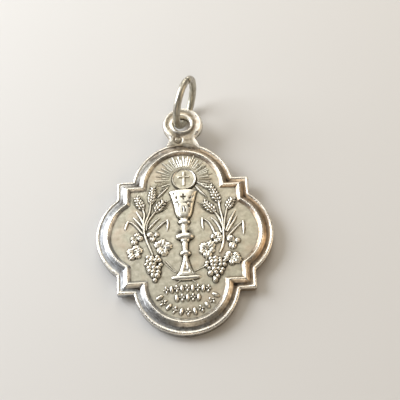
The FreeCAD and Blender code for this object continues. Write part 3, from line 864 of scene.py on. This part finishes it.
def ornament_rows(material):
    """Three rows under the chalice, in place of a legend: two nearly straight, one round the lobe."""
    tree = ornament_tree()
    meshes = []
    for count, radius, spread, middle, centre, start in ORNAMENT_ROWS:
        mesh = grown("ornament", tree, {
            "Count": count, "Radius": radius * MM, "Spread": math.radians(spread),
            "Middle": math.radians(middle), "Start": start}, material)
        mesh.transform(move_to(0.05, centre, FIELD + 0.03))
        meshes.append(mesh)
    return joined_meshes("ornament_rows", meshes, material)


# ---------------------------------------------------------------- tarnish and painted shade follow the relief

PITCH = 0.045   # mm between the samples of the face's height


def face_heights(pieces):
    """The height of the face over a grid of PITCH mm, from the pieces that make it."""
    low = np.array(cad_box[0]) / MM - 0.5
    high = np.array(cad_box[1]) / MM + 0.5
    xs = np.arange(low[0], high[0], PITCH)
    ys = np.arange(low[1], high[1], PITCH)
    heights = np.zeros((len(ys), len(xs)))
    depsgraph = bpy.context.evaluated_depsgraph_get()
    down = Vector((0, 0, -1))
    for obj in pieces:
        found = BVHTree.FromObject(obj, depsgraph)
        corners = np.array([tuple(c) for c in obj.bound_box]) / MM
        x_range = np.nonzero((xs > corners[:, 0].min()) & (xs < corners[:, 0].max()))[0]
        y_range = np.nonzero((ys > corners[:, 1].min()) & (ys < corners[:, 1].max()))[0]
        for j in y_range:
            for i in x_range:
                hit = found.ray_cast(Vector((xs[i], ys[j], 3.0)) * MM, down)[0]
                if hit is not None:
                    heights[j, i] = max(heights[j, i], hit.z / MM)
    return xs, ys, heights


def blurred(grid, sigma):
    """The grid blurred by sigma mm."""
    fy = np.fft.fftfreq(grid.shape[0], PITCH)[:, None]
    fx = np.fft.fftfreq(grid.shape[1], PITCH)[None, :]
    return np.fft.ifft2(np.fft.fft2(grid) * np.exp(-2 * (math.pi * sigma) ** 2 * (fx**2 + fy**2))).real


def give_tarnish_shade_and_wear(pieces):
    """Gives each vertex two values: crevice, where tarnish gathers and shade is painted in, and wear, where
    it is rubbed off.
    """
    xs, ys, heights = face_heights(pieces)
    low_walls = np.minimum(heights, FIELD + 0.25)
    near, wide = blurred(heights, 0.08), blurred(heights, 0.30)
    wide_low = blurred(low_walls, 0.25)
    # tarnish in the hollows together with painted shade: darker in hollows, at the foot of the relief and of
    # the walls, and where the face lies below the field
    crevice_tarnish_and_shade = np.clip((near - heights - 0.004) / 0.045, 0, 1) * 0.85
    crevice_tarnish_and_shade += np.clip((wide_low - low_walls) / 0.12, 0, 1) * 0.35
    crevice_tarnish_and_shade += np.clip((wide - heights) / 0.08, 0, 1) * 0.70 * (heights < FIELD - 0.03)
    wear = np.clip((heights - near) / 0.045, 0, 1) * 0.5 + np.clip((heights - wide) / 0.16, 0, 1) * 0.7
    for obj in pieces:
        mesh = obj.data
        co = np.empty(len(mesh.vertices) * 3, np.float32)
        normal = np.empty(len(mesh.vertices) * 3, np.float32)
        mesh.vertices.foreach_get("co", co)
        mesh.vertices.foreach_get("normal", normal)
        co = co.reshape(-1, 3) / MM
        faces_up = np.clip(normal.reshape(-1, 3)[:, 2] * 2.5, 0, 1)
        u = np.clip((co[:, 0] - xs[0]) / PITCH, 0, len(xs) - 2)
        v = np.clip((co[:, 1] - ys[0]) / PITCH, 0, len(ys) - 2)
        i, j = u.astype(int), v.astype(int)
        fu, fv = u - i, v - j
        for name, grid in (("crevice_tarnish_and_shade", crevice_tarnish_and_shade), ("wear", wear)):
            low = grid[j, i] * (1 - fu) + grid[j, i + 1] * fu
            high = grid[j + 1, i] * (1 - fu) + grid[j + 1, i + 1] * fu
            values = np.clip((low * (1 - fv) + high * fv) * faces_up, 0, 1).astype(np.float32)
            mesh.attributes.new(name, "FLOAT", "POINT").data.foreach_set("value", values)


# ---------------------------------------------------------------- materials

def hex_colour(text):
    """An sRGB hex colour as linear values."""
    parts = [int(text[k:k + 2], 16) / 255 for k in (1, 3, 5)]
    return tuple(p / 12.92 if p <= 0.04045 else ((p + 0.055) / 1.055) ** 2.4 for p in parts) + (1.0,)


PATTERNS = {    # size of each pattern's grain in mm, and its detail
    "clouds": (2.2, 3.0), "mottle": (0.5, 4.0), "grime": (0.16, 3.0), "pits": (0.07, 2.0)}


def aged_silver(name, clean, dull, stain, stain_size, stain_share, roughness,
                side_reflection_tint=0.0, scratch=0.0, pits=0.5):
    """Sterling silver, struck and left to age. Rubbed edges stay white, flats go warm grey with faint
    stains, and hollows hold dark sulphide tarnish and painted shade. The right side is painted brown, a
    painted reflection of the warm bounce, while the left is painted cool, a painted reflection of the window."""
    material = bpy.data.materials.new(name)
    material.use_nodes = True
    tree = material.node_tree
    tree.nodes.clear()
    where = add(tree, "ShaderNodeTexCoord").outputs["Object"]
    crevice_tarnish_and_shade = add(tree, "ShaderNodeAttribute", attribute_name="crevice_tarnish_and_shade").outputs["Fac"]
    wear = add(tree, "ShaderNodeAttribute", attribute_name="wear").outputs["Fac"]
    pattern = {}
    for key, (size, detail) in dict(PATTERNS, stains=(stain_size, 4.0)).items():
        pattern[key] = add(tree, "ShaderNodeTexNoise", {
            "Vector": where, "Scale": 1 / (size * MM), "Detail": detail, "Roughness": 0.6})
    mottle = pattern["mottle"]

    # how far to the right, slanting a little, with an uneven border between the painted cool reflection on
    # the left and the painted brown reflection on the right
    across = add(tree, "ShaderNodeSeparateXYZ", [where])
    slant = add(tree, MATHS, (across.outputs[1], 0.25, across.outputs[0]), operation="MULTIPLY_ADD")
    shift = add(tree, RANGE, (mottle, 0.3, 0.7, -2.0 * MM, 2.0 * MM))
    side = add(tree, MATHS, (slant, shift), operation="ADD")
    dirt = add(tree, RANGE, (pattern["grime"], 0.3, 0.7, 0.65, 1.25))
    # tarnish with painted shade in hollows and at the foot of the relief, made uneven by grime
    dark = add(tree, MATHS, (crevice_tarnish_and_shade, dirt), operation="MULTIPLY")

    colour = hex_colour(clean)
    for driver, start, end, cover, tint in (    # each coat covers more as its driver goes from start to end
            (mottle, 0.35, 0.68, 1.0, dull), (pattern["stains"], 0.5, 0.66, stain_share, stain),
            # painted reflection: a brown coat towards the right, of the warm bounce, and a cool coat towards
            # the left, of the window; then tarnish with painted shade in the hollows
            (pattern["clouds"], 0.45, 0.65, 0.22, "#B9BCA6"), (side, -1.0 * MM, 8.0 * MM, side_reflection_tint, "#B89A78"),
            (side, 0.0, -8.0 * MM, 0.8 * side_reflection_tint, "#B4BAC2"), (dark, 0.06, 0.80, 1.0, "#3C342C"),
            (wear, 0.15, 0.8, 0.85, "#F6F1E6")):
        share = add(tree, RANGE, (driver, start, end, 0.0, cover))
        coat = add(tree, "ShaderNodeMix", {0: share, 6: colour, 7: hex_colour(tint)}, data_type="RGBA")
        colour = coat.outputs[2]

    # tarnish is rough, rubbed edges are smooth
    rough = add(tree, RANGE, (mottle, 0.3, 0.7, roughness - 0.06, roughness + 0.08))
    rough = add(tree, MATHS, (dark, 0.22, rough), operation="MULTIPLY_ADD")
    rubbed = add(tree, RANGE, (wear, 0.15, 0.8))
    rough = add(tree, MATHS, (rubbed, -0.08, rough), operation="MULTIPLY_ADD")

    # pits, fine slanting scratches and a soft swell
    lines = add(tree, "ShaderNodeMapping", {
        "Vector": where, "Rotation": (0.0, 0.0, 0.5), "Scale": (1.0, 9.0, 1.0)})
    scratches = add(tree, "ShaderNodeTexNoise", {
        "Vector": lines, "Scale": 1 / (0.9 * MM), "Detail": 5.0, "Roughness": 0.75})
    pitting = add(tree, RANGE, (pattern["pits"], 0.28, 0.42))
    height = add(tree, MATHS, (pitting, pits), operation="MULTIPLY")
    height = add(tree, MATHS, (scratches, scratch, height), operation="MULTIPLY_ADD")
    height = add(tree, MATHS, (mottle, 0.8, height), operation="MULTIPLY_ADD")
    bump = add(tree, "ShaderNodeBump", {"Strength": 0.5, "Distance": 0.02 * MM, "Height": height})
    shader = add(tree, "ShaderNodeBsdfPrincipled", {
        "Base Color": colour, "Metallic": 1.0, "Roughness": rough, "Normal": bump})
    add(tree, "ShaderNodeOutputMaterial", {"Surface": shader})
    return material


def plain_card(name, colour):
    """The studio's pale sweep: matt card."""
    material = bpy.data.materials.new(name)
    material.use_nodes = True
    shader = material.node_tree.nodes["Principled BSDF"]
    shader.inputs["Base Color"].default_value = hex_colour(colour)
    shader.inputs["Roughness"].default_value = 0.8
    return material


# ---------------------------------------------------------------- the studio

FLOOR_HALF = 400.0
FLOOR_GAP = 0.01     # the floor is this far under the points it touches


def floor(material):
    """The medal lies with its far end propped on the ring, so the floor meets the back at a small angle."""
    ring_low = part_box("jump_ring")[0] / MM
    touch_y = ring_directions()[0][1]
    heel_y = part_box("medal")[0].y / MM
    slope = ring_low.z / (touch_y - heel_y)
    corners = []
    for across, away in ((-1, -1), (1, -1), (1, 1), (-1, 1)):
        y = away * FLOOR_HALF
        corners.append((across * FLOOR_HALF * MM, y * MM, (slope * (y - heel_y) - FLOOR_GAP) * MM))
    mesh = bpy.data.meshes.new("floor")
    mesh.from_pydata(corners, [], [(0, 1, 2, 3)])
    mesh.materials.append(material)
    obj = bpy.data.objects.new("floor", mesh)
    bpy.context.scene.collection.objects.link(obj)


def soft_light(name, place, size, power, colour):
    """A square softbox at a place, facing the medal's middle."""
    data = bpy.data.lights.new(name, "AREA")
    data.shape = "SQUARE"
    data.size = size * MM
    data.energy = power
    data.color = hex_colour(colour)[:3]
    obj = bpy.data.objects.new(name, data)
    bpy.context.scene.collection.objects.link(obj)
    obj.location = Vector(place) * MM
    obj.rotation_euler = (Vector((0, 2, 0)) - Vector(place)).to_track_quat("-Z", "Y").to_euler()


def camera():
    """A long lens from the foot of the medal, 28 degrees from straight above."""
    tilt, swing, roll = math.radians(28.0), math.radians(0.317), math.radians(2.934)
    target = Vector((1.749, 4.273, 0.0))
    distance = 85.76
    away = Vector((math.sin(tilt) * math.sin(swing), -math.sin(tilt) * math.cos(swing), math.cos(tilt)))
    data = bpy.data.cameras.new("camera")
    data.sensor_width = 36.0
    data.lens = 72.1
    data.clip_start = 1.0 * MM
    data.clip_end = 5000 * MM
    obj = bpy.data.objects.new("camera", data)
    bpy.context.scene.collection.objects.link(obj)
    obj.location = (target + away * distance) * MM
    up = (Vector((0, 1, 0)) - away * away.y).normalized()
    right = up.cross(away)
    turned_up = up * math.cos(roll) + right * math.sin(roll)
    turned_right = turned_up.cross(away)
    obj.rotation_euler = Matrix((turned_right, turned_up, away)).transposed().to_euler()
    bpy.context.scene.camera = obj


def world(colour, strength):
    """Even light from all round."""
    made = bpy.data.worlds.new("studio")
    bpy.context.scene.world = made
    made.use_nodes = True
    background = made.node_tree.nodes["Background"]
    background.inputs["Color"].default_value = hex_colour(colour)
    background.inputs["Strength"].default_value = strength


# ---------------------------------------------------------------- everything

# the border and eye have darkened most, the relief least, and the back is scratched from wear on cloth; the
# border, the eye and a little of the field also carry a painted reflection, brown on the right and cool on
# the left
border_silver = aged_silver(
    "struck_silver_border", "#BFBBB2", "#8C857A", "#57473A", 0.55, 0.85, 0.34, side_reflection_tint=0.65, pits=1.1)
field_silver = aged_silver(
    "struck_silver_field", "#CBC6B5", "#B0AB98", "#C6B09A", 2.6, 0.45, 0.46, side_reflection_tint=0.08)
relief_silver = aged_silver("struck_silver_relief", "#F4F1E6", "#DCD8C8", "#B8B2A0", 0.8, 0.3, 0.38)
eye_silver = aged_silver(
    "struck_silver_eye", "#C6BFB0", "#8E8576", "#6A5846", 0.55, 0.70, 0.36, side_reflection_tint=0.30, pits=1.0)
back_silver = aged_silver(
    "struck_silver_back", "#CFC8BC", "#AFA698", "#8C7E6C", 3.0, 0.4, 0.36, scratch=1.6)
wire_silver = aged_silver(
    "drawn_silver_wire", "#CAC6B8", "#A8A293", "#7F7468", 1.0, 0.5, 0.36, scratch=0.8)

relief = [chalice(relief_silver), host(field_silver), rays(relief_silver)]
wheat, bunch = ear_tree(), bunch_tree()
for side, stalk_lines, blade_lines, ears, leaves, (bunch_x, bunch_y), berries, bunch_lean, bunch_seed in (
        ("left", LEFT_STALKS, LEFT_BLADES, LEFT_EARS, LEFT_LEAVES,
         (-3.36, -2.58), (3, 4, 4, 3, 3, 2, 1), 0.035, 61),
        ("right", RIGHT_STALKS, RIGHT_BLADES, RIGHT_EARS, RIGHT_LEAVES,
         (3.06, -3.02), (3, 5, 5, 4, 3, 2, 1), -0.01, 62)):
    relief.append(stalks(side + "_wheat_stalks", stalk_lines, relief_silver))
    relief.append(blades(side + "_wheat_blades", blade_lines, relief_silver))
    relief.append(wheat_ears(side + "_wheat_ears", wheat, ears, relief_silver))
    relief.append(vine_leaves(side + "_vine_leaves", leaves, relief_silver))
    relief.append(grapes(side + "_grapes", bunch, bunch_x, bunch_y, berries, bunch_lean, bunch_seed,
                         relief_silver))
relief += [vine_stems(relief_silver), ornament_rows(relief_silver)]
blank = [border(border_silver), field(field_silver), hanging_eye(eye_silver)]
reverse(back_silver)
give_tarnish_shade_and_wear(relief + blank)
jump_ring(wire_silver)

floor(plain_card("pale_card", "#D8D6D2"))
world("#ECE8E0", 0.17)
soft_light("window", (-178, 92, 96), 170, 0.74, "#F4F8FF")
soft_light("overhead", (4, 142, 180), 150, 0.135, "#FFFAF0")
soft_light("back", (10, 225, 70), 120, 0.13, "#FFFAF0")
soft_light("front", (0, -190, 130), 120, 0.07, "#FFEBD0")
soft_light("bounce", (190, 20, 90), 120, 0.10, "#FFE4C0")
bpy.context.scene.view_settings.view_transform = "Standard"
camera()
